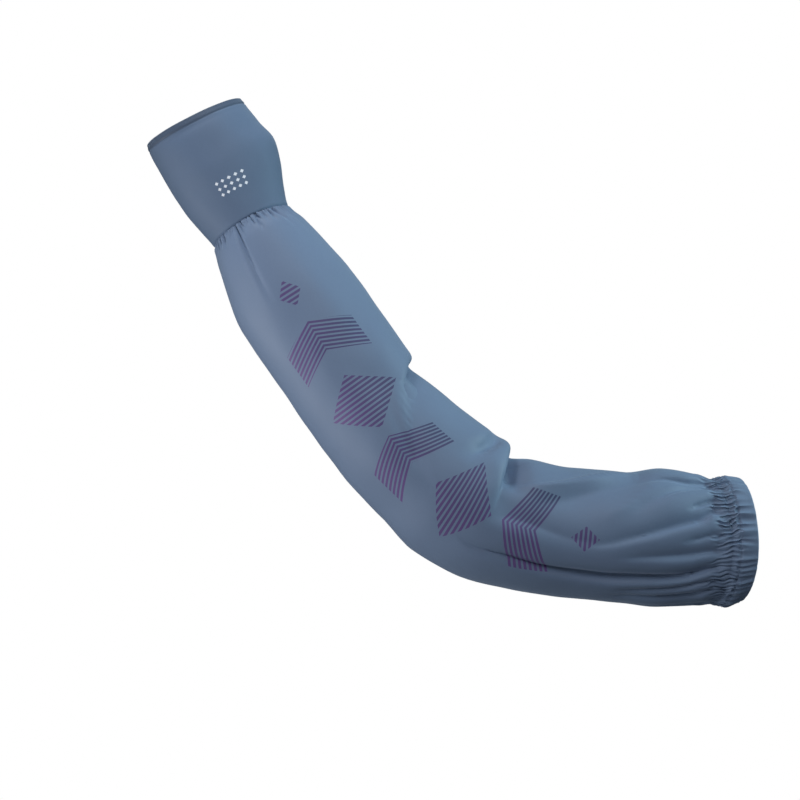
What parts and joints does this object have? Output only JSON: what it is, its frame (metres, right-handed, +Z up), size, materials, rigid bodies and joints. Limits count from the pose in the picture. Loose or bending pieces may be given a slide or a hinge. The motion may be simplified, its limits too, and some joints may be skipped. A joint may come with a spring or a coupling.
{
  "type": "arm protector sleeve",
  "caption": "Loose cloth over-sleeve for a bent arm, with a stretch cuff at the upper arm, a gathered sleeve and an elastic wrist hem.",
  "frame": {"origin": "middle of the cuff's mouth, where the arm goes in and the cuff grips it", "axes": "+Z up, the hand points along +X, the arm bends in the XZ plane, and the printed outer face looks along -Y"},
  "size_m": [0.4203, 0.0836, 0.3554],
  "materials": {
    "cuff_knit": "smooth stretch knit, slate blue",
    "sleeve_cloth": "light smooth cloth with a soft sheen, slate blue, with a striped purple print",
    "hem_cloth": "the sleeve's cloth folded over elastic, puckered"
  },
  "bodies": {
    "root": {"upper_cuff": "cuff_knit", "sleeve_body": "sleeve_cloth", "wrist_hem": "hem_cloth"}
  },
  "joints": []
}
